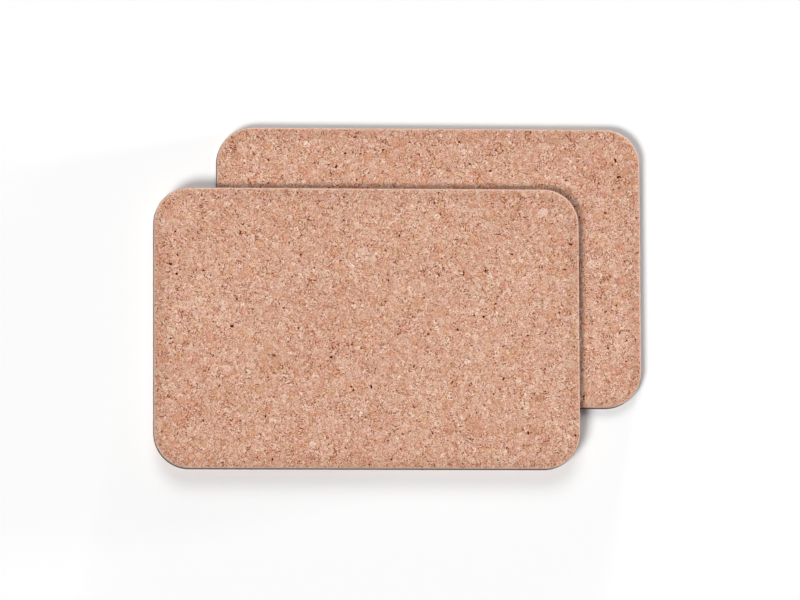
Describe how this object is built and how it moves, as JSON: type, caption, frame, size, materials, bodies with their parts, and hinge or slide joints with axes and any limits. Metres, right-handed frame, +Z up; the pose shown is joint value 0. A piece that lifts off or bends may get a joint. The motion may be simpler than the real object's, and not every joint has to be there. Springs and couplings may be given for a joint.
{
  "type": "trivet",
  "caption": "Flat rectangular cork trivets with round corners and sanded edges, stacked with an offset, that keep hot pots and pans off a table.",
  "frame": {"origin": "on the table, at the centre of the stack's outline", "axes": "+Z up, square to the boards' faces; +X along the boards' long sides, to the right in the picture; +Y along the short sides, up in the picture"},
  "size_m": [0.339, 0.2384, 0.02],
  "materials": {
    "cork": "matte"
  },
  "bodies": {
    "lower": {"lower_trivet": "cork"},
    "upper": {"upper_trivet": "cork"}
  },
  "joints": [
    {"name": "upper_lift", "type": "slide", "parent": "lower", "child": "upper", "axis": [0, 0, 1], "range_m": [0, 0.15]}
  ]
}
